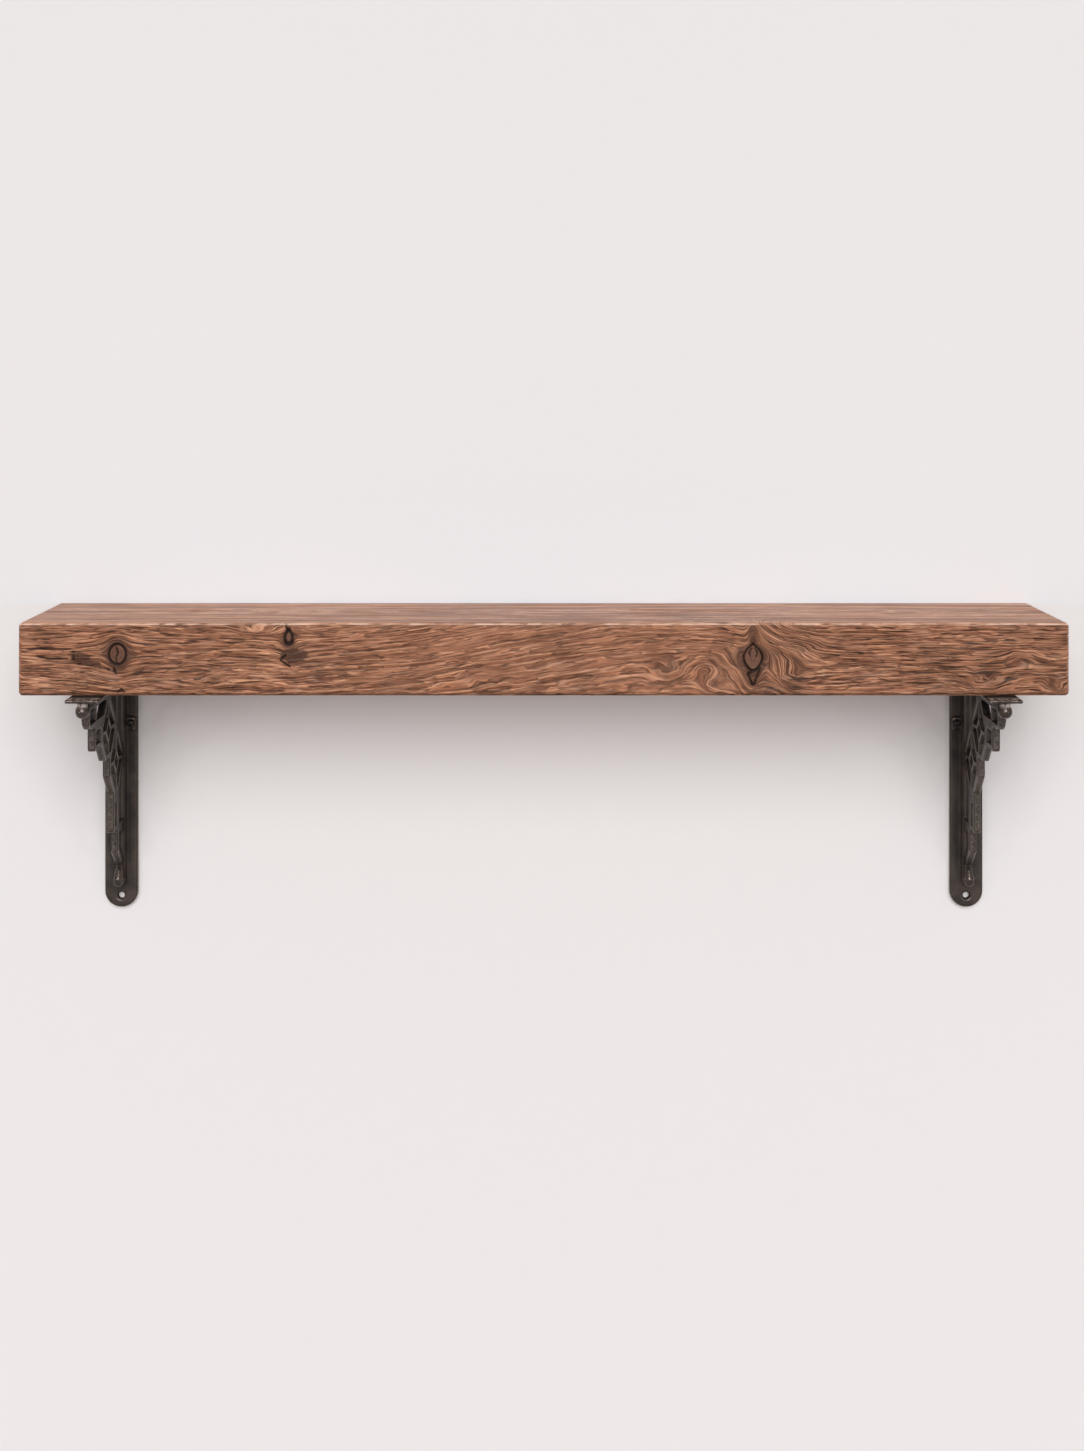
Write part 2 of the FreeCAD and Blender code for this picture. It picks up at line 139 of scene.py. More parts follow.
def grain_at(x, y, z):
    """A point's ring in millimetres, and from 0 to 1 its share of a knot, of its rim and of its stain."""
    ring, knot, rim, stain = plain_ring(x, y, z), 0.0, 0.0, 0.0
    near_front = math.exp((front_y - y) / sweep_depth)
    for (knot_x, knot_z, wide, tall, top, bottom, push), knot_ring in zip(knots, knot_rings):
        up = (z - knot_z) / tall
        narrowed = wide * (1.0 - (top if up > 0 else bottom) * min(up * up, 1.0))
        reach = math.hypot((x - knot_x) / narrowed, up)
        if reach > 1.0:
            ring = knot_ring + (ring - knot_ring) * (1.0 - near_front * push / reach ** 2)
        else:
            ring = knot_ring + near_front * wide * (1.0 - reach)
        knot = max(knot, near_front * (reach < 1.0))
        rim = max(rim, near_front * (1.0 - smooth_step(rim_dark, rim_gone, abs(reach - 1.0) * wide)))
        stain = max(stain, near_front * (1.0 - smooth_step(1.0, stain_wide + stain_push * push, reach)))
    return ring, knot, rim, stain


def crack_at(x, z, lines):
    """How deep a point of a face lies in one of its cracks or marks, from 0 to 1."""
    deepest = 0.0
    for points, half_width in lines:
        for (ax, az), (bx, bz) in zip(points, points[1:]):
            run_x, run_z = bx - ax, bz - az
            along = ((x - ax) * run_x + (z - az) * run_z) / (run_x * run_x + run_z * run_z)
            along = min(max(along, 0.0), 1.0)
            away = math.hypot(x - ax - along * run_x, z - az - along * run_z) + rag_at(x, z, *crack_rag)
            deep = 1.0 - smooth_step(half_width * crack_open, half_width * crack_shut, away)
            deepest = max(deepest, deep)
    return deepest


def flake_at(x, z):
    """How bare the surface is where a flake has come away, from 0 to 1."""
    barest = 0.0
    for flake_x, flake_z, long, tall in flakes:
        reach = math.hypot((x - flake_x) / long, (z - flake_z) / tall) + rag_at(x, z, *flake_rag)
        barest = max(barest, 1.0 - smooth_step(flake_bare, flake_border, reach))
    return barest


board_mesh = bmesh.new()
bmesh.ops.create_cube(board_mesh, size=1.0)
bmesh.ops.scale(board_mesh, vec=board_high - board_low, verts=board_mesh.verts)
bmesh.ops.translate(board_mesh, vec=(board_low + board_high) / 2, verts=board_mesh.verts)
worn_edges = [edge for edge in board_mesh.edges if any(v.co.y < board_high.y - MM for v in edge.verts)]
bmesh.ops.bevel(board_mesh, geom=worn_edges, offset=arris_radius * MM, offset_type="OFFSET",
                segments=arris_steps, profile=0.5, affect="EDGES", material=-1)
# lengths of the plank, cut finer where a knot needs it
borders = [-end_x]
for knot in knots:
    borders += [knot[0] - knot[2] - knot_margin, knot[0] + knot[2] + knot_margin]
borders.append(end_x)
for border in borders[1:-1]:
    bmesh.ops.bisect_plane(board_mesh, geom=board_mesh.verts[:] + board_mesh.edges[:] + board_mesh.faces[:],
                           dist=hair * MM, plane_co=(border * MM, 0, 0), plane_no=(1, 0, 0))


def runs_along(axis, low, high):
    """The board's long edges along an axis whose middles lie between two lengths of it."""
    runs = []
    for edge in board_mesh.edges:
        span, middle = edge.verts[1].co - edge.verts[0].co, (edge.verts[0].co + edge.verts[1].co) / 2
        if abs(span[axis]) > aligned * span.length and span.length > 2 * arris_radius * MM:
            if low < middle.x / MM < high:
                runs.append(edge)
    return runs


for index, (low, high) in enumerate(zip(borders, borders[1:])):
    step = knot_step if index % 2 else plain_step
    bmesh.ops.subdivide_edges(board_mesh, edges=runs_along(0, low, high), cuts=round((high - low) / step),
                              use_grid_fill=True)
for axis, cuts in ((1, cuts_deep), (2, cuts_tall)):
    bmesh.ops.subdivide_edges(board_mesh, edges=runs_along(axis, -end_x - 1, end_x + 1), cuts=cuts,
                              use_grid_fill=True)

# how deep the wear goes in millimetres, and how much less of it other faces and hard wood take
brushed_depth, crack_deep, rubbed_off, flake_deep = 1.0, 1.8, 0.3, 0.4
brushed_least, hard_wood, chip_more, split_deep = 0.2, 0.6, 2.5, 0.6
# sizes in millimetres of the unevenness of the rings, of the lifted flakes and of the chips of the arrises
uneven_deep, uneven_long, fade_long = 9, 400, 60
lifted_long, lifted_tall = 34, 9
chip_long, chip_deep, chip_tall = 9, 7, 40
# each effect's start and end: by the way a surface faces, by the level of its pattern or by its place
faces_way, ends_way, upper_way, lower_way = (0.3, 0.9), (0.5, 0.9), (-0.2, 0.3), (0.0, 0.5)
soft_wood, hard_ridge, ring_shows = (0.0, 0.75), (0.82, 1.0), (-0.3, 0.35)
lifted_level, lip_level, lip_reach = (0.1, 0.18), 0.14, (0.0, 0.07)
crest_turn, chip_level, split_level = (0.05, 0.25), (0.05, 0.4), (0.32, 0.5)
lifted_below, off_wall, calm_from, calm_to = (6, -16), (0.0, 8.0), (-230, -120), (90, 190)
# how uneven the rings are, how far a flake shifts them, how faint one can be, and the shares of some colours
ring_uneven, ring_break, ring_faint, ring_apart = 1.3, 0.4, 0.1, 7.7
mark_dark, lip_highlight, chip_dull = 0.8, 0.12, 0.7

board_mesh.normal_update()
layers = {name: board_mesh.verts.layers.float.new(name)
          for name in ("ring", "phase", "strength", "relief", "crack", "knot", "stain", "wear_and_highlight", "lower_arris_shade",
                       "top", "calm")}
moves = []
for vert in board_mesh.verts:
    x, y, z = vert.co / MM
    facing_front = smooth_step(*faces_way, -vert.normal.y)
    facing_top = smooth_step(*faces_way, vert.normal.z)
    facing_end = smooth_step(*ends_way, abs(vert.normal.x))
    ring, knot, rim, stain = grain_at(x, y, z)
    # each ring rises slowly through its soft wood to a hard ridge and drops sharply to the next
    phase = ring / ring_spacing + ring_uneven * noise.noise((ring / uneven_deep, x / uneven_long, 30.0))
    # low on the front face thin flakes have lifted off, and the rings break at their edges
    level = noise.noise((x / lifted_long, z / lifted_tall, 40.0))
    low_down = smooth_step(*lifted_below, z)
    lifted = smooth_step(*lifted_level, level) * low_down * facing_front
    lifted_lip = (1.0 - smooth_step(*lip_reach, abs(level - lip_level))) * low_down * facing_front
    phase += ring_break * lifted
    count, part = math.floor(phase), phase - math.floor(phase)
    shows = smooth_step(*ring_shows, noise.noise((count * ring_apart, x / fade_long, 2.0)))
    strength = ring_faint + (1.0 - ring_faint) * shows
    relief = 1.0 - strength * (1.0 - smooth_step(*soft_wood, part) * (1.0 - smooth_step(*hard_ridge, part)))
    crack = rim
    if facing_front > 0.0:
        crack = max(rim, crack_at(x, z, cracks)) * facing_front
        stain = max(stain, flake_at(x, z)) * facing_front
    if facing_top > 0.0:
        stain = max(stain, mark_dark * crack_at(x, y, top_marks) * facing_top)
    # how far round an arris the point lies: 1 on its crest, 0 on the faces
    turned = 1.0 - max(abs(axis) for axis in vert.normal)
    crest = smooth_step(*crest_turn, turned) * smooth_step(*off_wall, -y)
    chipped = noise.noise((x / chip_long, y / chip_deep, 11.0 + z / chip_tall))
    chip = smooth_step(*chip_level, chipped)
    crack = max(crack, split_deep * crest * smooth_step(*split_level, chipped))
    brushed = brushed_least + (1.0 - brushed_least) * facing_front + brushed_least * facing_end
    depth = brushed * brushed_depth * (1.0 - relief) * (1.0 - hard_wood * max(knot, crest))
    depth += crack_deep * crack + crest * rubbed_off * (1.0 + chip_more * chip) + flake_deep * lifted
    # upper arrises lighter: stain rubbed thin there, and a painted highlight; lower arrises darker: painted
    # shade
    wear_and_highlight = crest * (1.0 - chip_dull * chip) * smooth_step(*upper_way, vert.normal.z)
    lower_arris_shade = crest * smooth_step(*lower_way, -vert.normal.z)
    # the grain lies quieter in the middle of the front face
    calm = smooth_step(*calm_from, x) * (1.0 - smooth_step(*calm_to, x)) * facing_front
    # the lips of the lifted flakes take the upper arrises' pale tone: a painted highlight
    values = {"ring": ring, "phase": phase, "strength": strength, "relief": relief, "crack": crack,
              "knot": knot * facing_front, "stain": stain, "wear_and_highlight": max(lip_highlight * lifted_lip, wear_and_highlight),
              "lower_arris_shade": lower_arris_shade, "top": facing_top, "calm": calm}
    for name, value in values.items():
        vert[layers[name]] = value
    moves.append((vert, vert.normal * -depth * MM))
for vert, move in moves:
    if vert.co.y < board_high.y - back_margin * MM:
        vert.co += move
# the sawn back is flat, so its cuts along the plank come out again
back_cuts = [edge for edge in board_mesh.edges if all(face.normal.y > aligned for face in edge.link_faces)
             and abs(edge.verts[0].co.z - edge.verts[1].co.z) < hair * MM]
bmesh.ops.dissolve_edges(board_mesh, edges=back_cuts, use_verts=True)
for edge in board_mesh.edges:
    edge.smooth = not any(face.normal.y > aligned for face in edge.link_faces)


def linear(code):
    """An sRGB hex colour as a linear one."""
    parts = [int(code[i:i + 2], 16) / 255 for i in (1, 3, 5)]
    return [p / 12.92 if p <= 0.04045 else ((p + 0.055) / 1.055) ** 2.4 for p in parts] + [1.0]


def add_node(material, kind, inputs=None, stops=(), **settings):
    """Adds a node with its settings, its ramp's colours, and its inputs as values or links."""
    tree = material.node_tree
    made = tree.nodes.new(kind)
    for name, value in settings.items():
        setattr(made, name, value)
    for socket, value in (inputs or {}).items():
        if isinstance(value, bpy.types.NodeSocket):
            tree.links.new(value, made.inputs[socket])
        else:
            made.inputs[socket].default_value = value
    while stops and len(made.color_ramp.elements) < len(stops):
        made.color_ramp.elements.new(0.5)
    for element, (place, colour) in zip(made.color_ramp.elements if stops else (), stops):
        element.position, element.color = place, colour
    return made


def new_material(name, **values):
    """A principled material with the values that are the same all over it, and its shader."""
    material = bpy.data.materials.new(name)
    material.use_nodes = True
    shader = material.node_tree.nodes["Principled BSDF"]
    for socket, value in values.items():
        shader.inputs[socket.replace("_", " ")].default_value = value
    return material, shader


def new_piece(name, shape, material, slot, *nodes):
    """Makes the object of a finished bmesh, in place of its CAD nodes."""
    mesh = bpy.data.meshes.new(name)
    shape.to_mesh(mesh)
    shape.free()
    mesh.polygons.foreach_set("use_smooth", [True] * len(mesh.polygons))
    mesh.materials.append(material)
    piece = bpy.data.objects.new(name, mesh)
    bpy.context.scene.collection.objects.link(piece)
    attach(piece, "root")
    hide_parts(*nodes)


# Stained softwood, brushed: pale hard rings stand over darker soft ones, with dark grooves and short checks
# along the grain. The stain is rubbed thin along the upper arrises, which also carry a painted highlight, and
# the lower arrises are painted darker, a painted shade.
timber, timber_shader = new_material("stained_brushed_softwood", IOR=1.45, Specular_IOR_Level=0.3)
grain = {name: add_node(timber, "ShaderNodeAttribute", attribute_name=name).outputs["Fac"] for name in layers}
place = add_node(timber, "ShaderNodeTexCoord")
place_mm = add_node(timber, "ShaderNodeVectorMath", {0: place.outputs["Object"], "Scale": 1 / MM},
                    operation="SCALE")
place_parts = add_node(timber, "ShaderNodeSeparateXYZ", {0: place_mm.outputs[0]})
# the ring in one direction and the length of the plank in the other, so that fibres follow the grain
along_grain = add_node(timber, "ShaderNodeCombineXYZ", {0: grain["ring"], 1: place_parts.outputs[0],
                                                       2: place_parts.outputs[1]})
# each pattern: what it follows, its three sizes in millimetres, its detail, roughness and bend; real fibres
# and checks are finer than the picture can show, so they are drawn this coarse
timber_patterns = (
    ("fibre", along_grain, (0.85, 20, 20), 3.0, 0.6, 0.3),
    ("check", along_grain, (0.8, 26, 26), 1.0, 0.5, 0.5),
    ("ledge", along_grain, (2.6, 36, 36), 2.0, 0.5, 0.2),
    ("blotch", place_mm, (40, 40, 40), 3.0, 0.5, 0.0),
    ("streak", place_mm, (150, 7, 7), 2.0, 0.5, 0.0),
    ("rag", place_mm, (16, 4, 4), 4.0, 0.5, 0.0),
)
figure = {}
for name, follows, sizes, detail, roughness, bend in timber_patterns:
    per_size = [1 / size for size in sizes]
    spread = add_node(timber, "ShaderNodeVectorMath", {0: follows.outputs[0], 1: per_size},
                      operation="MULTIPLY")
    cloud = add_node(timber, "ShaderNodeTexNoise",
                     {"Vector": spread.outputs[0], "Scale": 1.0, "Detail": detail, "Roughness": roughness,
                      "Distortion": bend})
    figure[name] = cloud.outputs["Fac"]
# what the patterns and the grain give: the range they are read over, and the range it becomes
check_most = add_node(timber, "ShaderNodeMapRange", {"Value": grain["calm"], "To Min": 0.9, "To Max": 0.4})
timber_ranges = (
    ("check_dark", figure["check"], 0.59, 0.64, 0.0, check_most.outputs[0]),
    ("check_lip_highlight", figure["check"], 0.38, 0.28, 0.0, 0.6),
    ("ledge_rise", figure["ledge"], 0.47, 0.53, 0.0, 1.0),
    ("ledge", grain["top"], 0.0, 1.0, 0.7, 0.15),
    ("blotch", figure["blotch"], 0.46, 0.72, 0.0, 0.5),
    ("streak", figure["streak"], 0.42, 0.62, 0.0, 0.75),
    ("ragged", figure["rag"], 0.4, 0.56, 0.15, 1.0),
    ("quiet", grain["calm"], 0.0, 1.0, 0.0, 0.45),
    ("satin", grain["relief"], 0.0, 1.0, 0.68, 0.45),
)
share = {}
for name, value, start, end, low, high in timber_ranges:
    read = add_node(timber, "ShaderNodeMapRange", {"Value": value, "From Min": start, "From Max": end,
                                                  "To Min": low, "To Max": high})
    share[name] = read.outputs[0]
for name, value, part in (
        ("top_streak", share["streak"], grain["top"]), ("rubbed_and_highlit", grain["wear_and_highlight"], share["ragged"]),
        ("strength", grain["strength"], 0.7), ("stain", grain["stain"], 0.85), ("knot", grain["knot"], 0.6),
        ("lower_arris_shade", grain["lower_arris_shade"], 0.65)):
    share[name] = add_node(timber, "ShaderNodeMath", {0: value, 1: part}, operation="MULTIPLY").outputs[0]
ring_part = add_node(timber, "ShaderNodeMath", {0: grain["phase"]}, operation="FRACT")
ringed = add_node(timber, "ShaderNodeValToRGB", {0: ring_part.outputs[0]}, stops=(
    (0.0, linear("#40271a")), (0.12, linear("#784a35")), (0.45, linear("#986549")), (0.72, linear("#b67f5e")),
    (0.82, linear("#cf9873")), (0.9, linear("#76503a")), (1.0, linear("#382116"))))
even_fibre = 0.52
fibre_even = add_node(timber, "ShaderNodeMix", {0: share["quiet"], 2: figure["fibre"], 3: even_fibre},
                      data_type="FLOAT")
fibred = add_node(timber, "ShaderNodeValToRGB", {0: fibre_even.outputs[0]}, stops=(
    (0.34, linear("#633a28")), (0.5, linear("#a06a4e")), (0.66, linear("#cf9977"))))
# torn grain: thin layers end in ledges, painted with a pale highlight on the lip above and a dark shade at
# the edge below
ledge_shade_and_highlight = add_node(timber, "ShaderNodeValToRGB", {0: figure["ledge"]}, stops=(
    (0.42, linear("#bcbcbc")), (0.475, linear("#777777")), (0.495, linear("#808080")),
    (0.525, linear("#e6e6e6")), (0.6, linear("#bcbcbc"))))
colour = add_node(timber, "ShaderNodeMix", {0: share["strength"], 6: fibred.outputs[0], 7: ringed.outputs[0]},
                  data_type="RGBA").outputs[2]
for part, tone, blend in (
        # the check lips' pale tone is a painted highlight
        (share["blotch"], linear("#65402c"), "MIX"), (share["check_lip_highlight"], linear("#c4957a"), "MIX"),
        (share["ledge"], ledge_shade_and_highlight.outputs[0], "OVERLAY"), (share["check_dark"], linear("#3c241a"), "MIX"),
        # the screen over the top face makes it paler: partly a thinner stain, partly a painted sheen
        (grain["top"], linear("#a87861"), "SCREEN"), (share["top_streak"], linear("#835a47"), "MIX"),
        (share["stain"], linear("#4f3428"), "MIX"), (share["knot"], linear("#7b5644"), "MIX"),
        # the rubbed tone is thin stain with a painted highlight; the lower arrises' tone is painted shade
        (share["rubbed_and_highlit"], linear("#f2cfba"), "MIX"), (share["lower_arris_shade"], linear("#4a3125"), "MIX"),
        (grain["crack"], linear("#1f120d"), "MIX")):
    colour = add_node(timber, "ShaderNodeMix", {0: part, 6: colour, 7: tone}, data_type="RGBA",
                      blend_type=blend).outputs[2]
ledge_tall, fibre_tall = 0.5, 0.5
fibre_rise = add_node(timber, "ShaderNodeMath", {0: figure["fibre"], 1: share["check_dark"]},
                      operation="SUBTRACT")
ledge_bump = add_node(timber, "ShaderNodeBump", {"Height": share["ledge_rise"], "Strength": 0.7,
                                                "Distance": ledge_tall * MM})
fibre_bump = add_node(timber, "ShaderNodeBump", {"Height": fibre_rise.outputs[0], "Strength": 0.8,
                                                "Distance": fibre_tall * MM, "Normal": ledge_bump.outputs[0]})
timber.node_tree.links.new(colour, timber_shader.inputs["Base Color"])
timber.node_tree.links.new(share["satin"], timber_shader.inputs["Roughness"])
timber.node_tree.links.new(fibre_bump.outputs[0], timber_shader.inputs["Normal"])
new_piece("brushed_board", board_mesh, timber, "stained_timber", "shelf_board")

# Brackets
# Two grey-iron castings from one sand mould, painted black: back plate, flange and pierced web in one piece.
# Their edges came rounded out of the sand, and handling has polished the paint along them; a painted
# highlight lightens them as well.
voxel, weld = 0.78, 0.001
soft_edge_passes, polish_passes, shade_passes = 3, 2, 10
foot_low, foot_radius = (-18.0, -224.35), 4.9    # out from the wall and down, in the side view
foot_high, foot_top = (-14.5, -216.25), 3.8
foot_steps = 32

# Cast iron under thin black paint: the sand's grit shows through, the hollows are painted dark as shade, the
# edges are lighter with polish and a painted highlight, and the round knobs have a dull shine. Real grit is
# finer than the picture can show, so it is drawn this coarse.
cloud_size, sand_size, sand_deep = 14, 1.3, 0.25
knob_rough, hollow_rough, knob_bare = 0.16, 0.85, 0.8
iron, iron_shader = new_material("black_cast_iron", IOR=1.5, Specular_IOR_Level=0.4)
polish_and_highlight, hollow_shade, knob = (add_node(iron, "ShaderNodeAttribute", attribute_name=name).outputs["Fac"]
                          for name in ("edge", "hollow", "knob"))
iron_place = add_node(iron, "ShaderNodeTexCoord")
cast_cloud = add_node(iron, "ShaderNodeTexNoise",
                      {"Vector": iron_place.outputs["Object"], "Scale": 1 / (cloud_size * MM), "Detail": 4.0})
cast_grit = add_node(iron, "ShaderNodeTexNoise",
                     {"Vector": iron_place.outputs["Object"], "Scale": 1 / (sand_size * MM), "Detail": 3.0})
paint = add_node(iron, "ShaderNodeValToRGB", {0: cast_cloud.outputs["Fac"]},
                 stops=((0.35, linear("#281f1b")), (0.65, linear("#42362f"))))
# edges lighter: polished paint and a painted highlight
polished_and_highlit = add_node(iron, "ShaderNodeMix", {0: polish_and_highlight, 6: paint.outputs[0], 7: linear("#a3978f")},
                    data_type="RGBA")
# hollows, the plank's seat and the flange tip darkened: painted shade
shaded_in_hollows = add_node(iron, "ShaderNodeMix", {0: hollow_shade, 6: polished_and_highlit.outputs[2], 7: linear("#0c0a09")},
                  data_type="RGBA")
iron_gloss = add_node(iron, "ShaderNodeMapRange", {"Value": cast_grit.outputs["Fac"], "From Min": 0.3,
                                                  "From Max": 0.7, "To Min": 0.34, "To Max": 0.54})
knob_gloss = add_node(iron, "ShaderNodeMix", {0: knob, 2: iron_gloss.outputs[0], 3: knob_rough},
                      data_type="FLOAT")
hollow_gloss = add_node(iron, "ShaderNodeMix", {0: hollow_shade, 2: knob_gloss.outputs[0], 3: hollow_rough},
                      data_type="FLOAT")
grit_strength = add_node(iron, "ShaderNodeMapRange", {"Value": knob, "To Min": 0.5, "To Max": 0.12})
grit_bump = add_node(iron, "ShaderNodeBump",
                     {"Height": cast_grit.outputs["Fac"], "Strength": grit_strength.outputs[0],
                      "Distance": sand_deep * MM})
bare_metal = add_node(iron, "ShaderNodeMapRange", {"Value": knob, "To Max": knob_bare})
iron.node_tree.links.new(shaded_in_hollows.outputs[2], iron_shader.inputs["Base Color"])
iron.node_tree.links.new(bare_metal.outputs[0], iron_shader.inputs["Metallic"])
iron.node_tree.links.new(hollow_gloss.outputs[0], iron_shader.inputs["Roughness"])
iron.node_tree.links.new(grit_bump.outputs[0], iron_shader.inputs["Normal"])

pattern = bpy.data.meshes.new("pattern")
copy = bmesh.new()
copy.from_mesh(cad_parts["bracket_left"].data)
bmesh.ops.remove_doubles(copy, verts=copy.verts, dist=weld * MM)
# the foot's waist is filled, as the sand leaves it, to one smooth drop
bracket_low, bracket_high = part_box("bracket_left")
middle_x = (bracket_low.x + bracket_high.x) / 2
ends = [Vector((middle_x / MM, out, level)) * MM for out, level in (foot_low, foot_high)]
lean = (ends[1] - ends[0]).to_track_quat("Z", "X").to_matrix().to_4x4()
bmesh.ops.create_cone(copy, cap_ends=True, segments=foot_steps, radius1=foot_radius * MM,
                      radius2=foot_top * MM, depth=(ends[1] - ends[0]).length,
                      matrix=Matrix.Translation((ends[0] + ends[1]) / 2) @ lean)
copy.to_mesh(pattern)
copy.free()
mould = bpy.data.objects.new("mould", pattern)
bpy.context.scene.collection.objects.link(mould)
remesh = mould.modifiers.new("voxels", "REMESH")
remesh.mode, remesh.voxel_size = "VOXEL", voxel * MM
ready = mould.evaluated_get(bpy.context.evaluated_depsgraph_get())
casting = bmesh.new()
casting.from_mesh(ready.data)
bpy.data.objects.remove(mould)
for turn in range(soft_edge_passes):
    bmesh.ops.smooth_vert(casting, verts=casting.verts, factor=0.5, use_axis_x=True, use_axis_y=True,
                          use_axis_z=True)
casting.normal_update()
casting.verts.ensure_lookup_table()
near_verts = [[link.other_vert(vert).index for link in vert.link_edges] for vert in casting.verts]
# how far each point stands proud of its neighbours: most on an edge, less on a knob, nothing on a face
proud = []
for vert, near in zip(casting.verts, near_verts):
    middle = sum((casting.verts[index].co for index in near), Vector()) / len(near)
    proud.append((vert.co - middle).dot(vert.normal) / MM)
edge_proud, polish_kept = (0.06, 0.15), 0.75
edge = [smooth_step(*edge_proud, value) for value in proud]
for turn in range(polish_passes):
    edge = [max(value, polish_kept * max(edge[index] for index in near))
            for value, near in zip(edge, near_verts)]
# a point lies in a hollow as far as the casting itself stands round it, and is painted that much darker as
# shade:
# rays run out from it, and the next points swing theirs, so that no single direction shows
hollow_reach, ray_lift, ray_least = 35.0, 0.5, 0.3
swing_count, swing_angle = 5, 0.9
walls = BVHTree.FromBMesh(casting)
ways = [Vector(way).normalized() for way in itertools.product((-1, 0, 1), repeat=3)
        if sum(map(abs, way)) in (1, 3)]
swings = [Matrix.Rotation(swing * swing_angle, 3, Vector((1, swing, 0.5))) for swing in range(swing_count)]
way_sets = [[swing @ way for way in ways] for swing in swings]
shut = []
for vert, way_set in zip(casting.verts, itertools.cycle(way_sets)):
    start = vert.co + vert.normal * ray_lift * MM
    open_ways = [way for way in way_set if way.dot(vert.normal) > ray_least]
    stopped = sum(walls.ray_cast(start, way, hollow_reach * MM)[0] is not None for way in open_ways)
    shut.append(stopped / len(open_ways))
for turn in range(shade_passes):
    shut = [(2 * value + sum(shut[index] for index in near)) / (2 + len(near))
            for value, near in zip(shut, near_verts)]
# the flange is painted dark where the plank lies on it, a painted contact shadow, and its tip in front of the
# plank is bare, rough iron, painted dark as shade between bright specks that are painted glints; the fronts
# of the steps below were left a little rough from the sand, with the same painted glints
grit_size, grit_depth, rough_more = 1.6, 0.10, 2.0
seat_way, seat_level = (0.6, 0.9), (-4, -2)
tip_out, tip_level = (4, 12), (-9, -6)
front_way, front_out = (0.5, 0.9), (-15, -30)
rough_proud, knob_proud = (0.02, 0.04), (0.02, 0.035)
speck_level, shade_level = (-0.1, 0.2), (0.15, 0.55)
front_rough, edge_polish_highlight, knob_bright, tip_shade = 0.2, 0.75, 0.18, 0.4
edge_layer, hollow_layer, knob_layer = (casting.verts.layers.float.new(name)
                                        for name in ("edge", "hollow", "knob"))
moves = []
for vert, own_edge, own_proud, own_shut in zip(casting.verts, edge, proud, shut):
    below_top = (vert.co.z - bracket_high.z) / MM
    seat = smooth_step(*seat_way, vert.normal.z) * smooth_step(*seat_level, below_top)
    tip = smooth_step(*tip_out, front_y - vert.co.y / MM) * smooth_step(*tip_level, below_top)
    front = smooth_step(*front_way, -vert.normal.y) * smooth_step(*front_out, vert.co.y / MM)
    rough = max(tip, front_rough * front) * (1.0 - smooth_step(*rough_proud, own_proud))
    grit = noise.noise(vert.co / (grit_size * (1.0 + tip) * MM))
    rounded = smooth_step(*knob_proud, own_proud)
    speck = smooth_step(*speck_level, grit)
    painted_shade = max(smooth_step(*shade_level, own_shut), seat) * (1.0 - max(own_edge, tip))
    # edge tone: polish and a painted highlight on edges, polish on knobs, and bright specks on the tip and
    # step fronts that are painted glints
    vert[edge_layer] = max(edge_polish_highlight * own_edge, knob_bright * rounded, rough * speck)
    vert[hollow_layer] = max(painted_shade, tip_shade * tip * (1.0 - max(own_edge, speck)))
    vert[knob_layer] = rounded
    moves.append((vert, vert.normal * -grit_depth * MM * (0.5 + 0.5 * grit) * (1.0 + rough_more * rough)))
for vert, move in moves:
    vert.co += move
for side in ("left", "right"):
    twin = casting.copy()
    bmesh.ops.translate(twin, vec=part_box("bracket_" + side)[0] - bracket_low, verts=twin.verts)
    new_piece("cast_bracket_" + side, twin, iron, "cast_iron", "bracket_" + side)
casting.free()

# Screws
# Blackened steel wood screws: slotted round heads on the plates' seats hold the brackets to the wall, and
# shorter ones go up through the flanges into the plank. Heads are turned, threads rolled to a point.
head_radius, head_tall, rim_tall, rim_round = 3.7, 2.6, 0.8, 0.2
slot_wide, slot_deep, slot_slope = 1.1, 1.3, 0.1
neck_radius, neck_slope, root_radius, thread_radius = 1.9, 1.0, 1.35, 1.9
thread_pitch, thread_half, thread_sunk, point_long = 1.8, 0.45, 0.2, 7.0
thread_start, thread_end, thread_least = 0.6, 1.5, 0.12
dome_steps, turned_steps, thread_steps = 8, 40, 18

# Blackened steel: an oxide skin, nearly black, a little glossier in some patches.
oxide_size = 1.5
blackened, blackened_shader = new_material("blackened_steel", Metallic=0.6)
screw_place = add_node(blackened, "ShaderNodeTexCoord")
screw_cloud = add_node(blackened, "ShaderNodeTexNoise",
                       {"Vector": screw_place.outputs["Object"], "Scale": 1 / (oxide_size * MM),
                        "Detail": 3.0})
oxide = add_node(blackened, "ShaderNodeValToRGB", {0: screw_cloud.outputs["Fac"]},
                 stops=((0.3, linear("#1c1918")), (0.7, linear("#3a3533"))))
screw_gloss = add_node(blackened, "ShaderNodeMapRange", {"Value": screw_cloud.outputs["Fac"], "To Min": 0.18,
                                                        "To Max": 0.38})
blackened.node_tree.links.new(oxide.outputs[0], blackened_shader.inputs["Base Color"])
blackened.node_tree.links.new(screw_gloss.outputs[0], blackened_shader.inputs["Roughness"])


